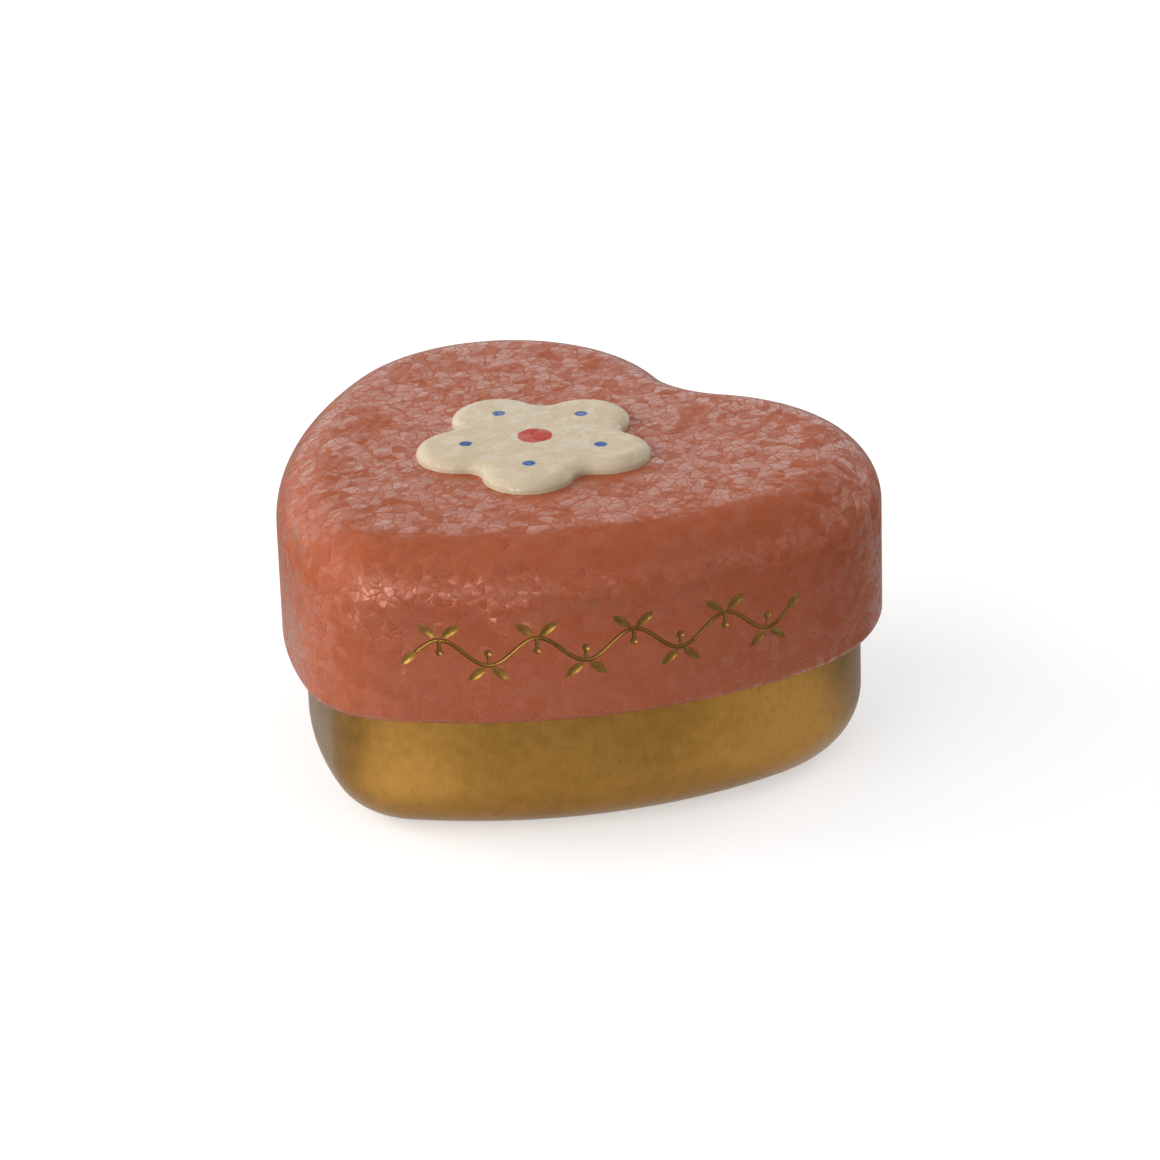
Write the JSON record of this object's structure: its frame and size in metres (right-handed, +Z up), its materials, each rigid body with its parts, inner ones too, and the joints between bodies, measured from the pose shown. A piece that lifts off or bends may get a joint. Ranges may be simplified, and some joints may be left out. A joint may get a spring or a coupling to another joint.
{
  "type": "keepsake box",
  "caption": "Small heart-shaped slip-lid box in drawn sheet, with rounded shoulders, rolled edges, a floor panel set in a standing ring and a low flower relief on the lid.",
  "frame": {"origin": "on the surface that the box stands on, at the middle of its width and its length", "axes": "+Z up, the heart's tip towards -Y and its notch towards +Y, +X across the two lobes"},
  "size_m": [0.06, 0.0555, 0.0314],
  "materials": {
    "gold_lacquer": "satin gold lacquer on sheet metal",
    "coral_enamel": "glossy coral enamel with a fine flake pattern",
    "cream_enamel": "satin cream enamel with painted red and blue marks"
  },
  "bodies": {
    "base": {"base_shell": "gold_lacquer"},
    "lid": {"lid_shell": "coral_enamel", "lid_emblem": "cream_enamel"}
  },
  "joints": [
    {"name": "lid_lift", "type": "slide", "parent": "base", "child": "lid", "axis": [0, 0, 1], "range_m": [0, 0.045]}
  ]
}
